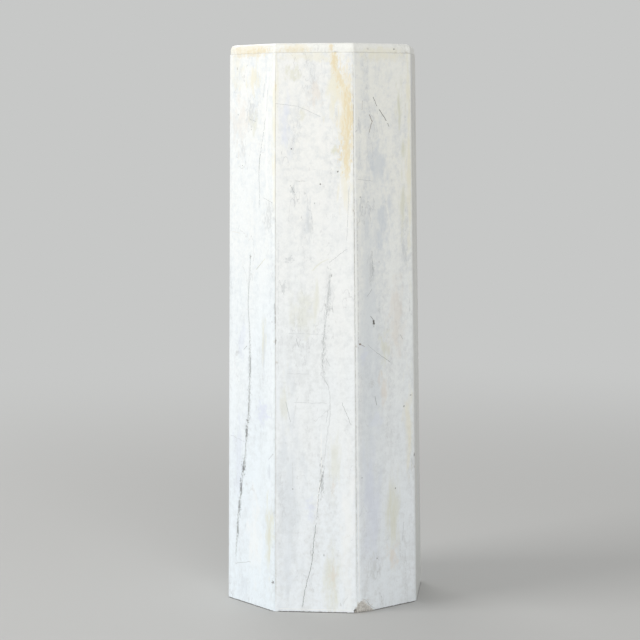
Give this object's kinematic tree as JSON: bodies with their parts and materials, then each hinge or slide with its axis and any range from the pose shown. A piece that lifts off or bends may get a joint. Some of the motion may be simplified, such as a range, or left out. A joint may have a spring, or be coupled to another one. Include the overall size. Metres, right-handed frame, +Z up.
{
  "type": "octagonal marble pedestal",
  "caption": "Tall hollow eight-sided marble pedestal of flat upright slabs, slightly narrower at the top, with a round-edged top slab; stands on the floor and carries a vase or bust.",
  "frame": {"origin": "centre of the footprint, on the floor that the pedestal stands on", "axes": "+Z up along the pedestal's axis; -Y out of the front slab; +X to the right seen from the front"},
  "size_m": [0.315, 0.315, 0.914],
  "materials": {
    "stained_marble": "honed white marble with ochre staining",
    "white_marble": "honed white marble with fine grey veins",
    "grey_marble": "honed pale grey marble with dark cracks",
    "cream_marble": "honed cream marble with soft clouding"
  },
  "bodies": {
    "root": {"top_slab": "stained_marble", "front_slab": "white_marble", "front_right_slab": "grey_marble", "right_slab": "cream_marble", "back_right_slab": "white_marble", "back_slab": "cream_marble", "back_left_slab": "grey_marble", "left_slab": "cream_marble", "front_left_slab": "white_marble"}
  },
  "joints": []
}
